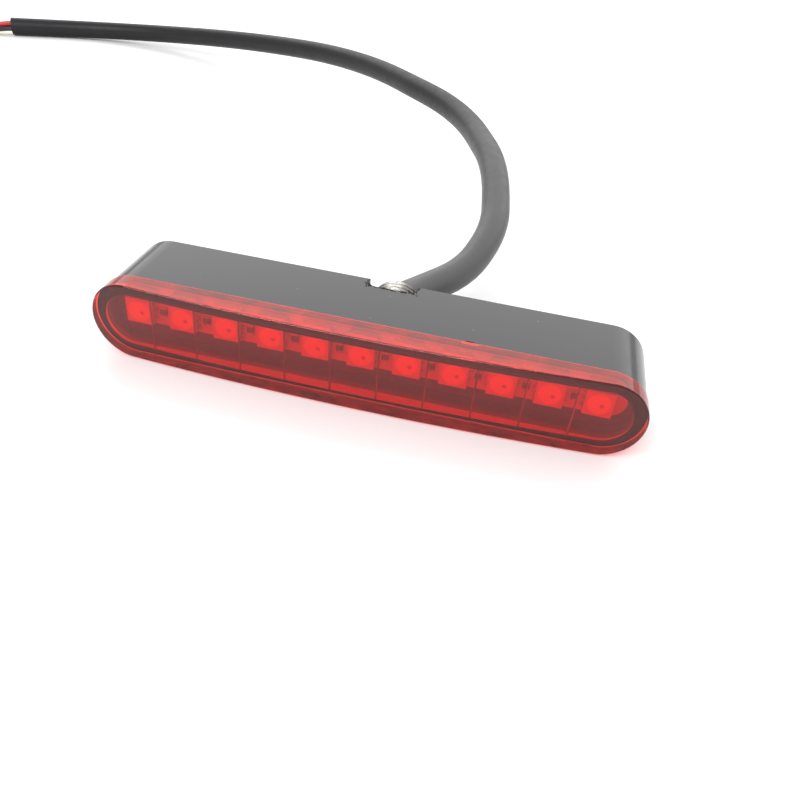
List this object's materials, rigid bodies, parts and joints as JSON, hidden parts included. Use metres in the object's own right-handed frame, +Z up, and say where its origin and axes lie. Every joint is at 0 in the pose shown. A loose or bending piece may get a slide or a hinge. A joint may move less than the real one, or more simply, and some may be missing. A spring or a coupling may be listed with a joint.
{
  "type": "tail light",
  "caption": "Slim round-ended LED tail light: bowed red lens on a black housing, potted LED strip inside, hollow threaded stud behind and a cable that loops away.",
  "frame": {"origin": "on the stud's axis, where the stud leaves the housing's flat back", "axes": "+X along the lamp, +Y backwards out of the stud, -Y is the lit side, +Z up"},
  "size_m": [0.2774, 0.2088, 0.0245],
  "materials": {
    "black_housing": "gloss, moulded",
    "red_lens": "clear red, polished",
    "seal": "matt",
    "board": "white solder mask",
    "led_case": "white, satin",
    "led_window": "clear gel",
    "led_die": "dark",
    "tinned_metal": "tinned",
    "pads": "tinned copper",
    "chip": "black glaze",
    "diode_case": "moulded",
    "stud_metal": "plated, cut thread",
    "cable_black": "satin",
    "wire_black": "smooth",
    "wire_red": "smooth",
    "wire_yellow": "smooth",
    "resin": "cast, satin"
  },
  "bodies": {
    "root": {"housing": "black_housing", "lens": "red_lens", "lens_seal": "seal", "led_board": "board", "led_packages": "led_case", "led_windows": "led_window", "led_dies": "led_die", "led_leads": "tinned_metal", "led_pads": "pads", "resistors": "chip", "resistor_caps": "tinned_metal", "feed_diodes": "diode_case", "dimming_resistor": "chip", "hollow_stud": "stud_metal", "cable_jacket": "cable_black", "wire_ground": "wire_black", "wire_tail": "wire_red", "wire_brake": "wire_yellow", "wire_strands": "tinned_metal", "solder_joints": "tinned_metal", "potting_compound": "resin"}
  },
  "joints": []
}
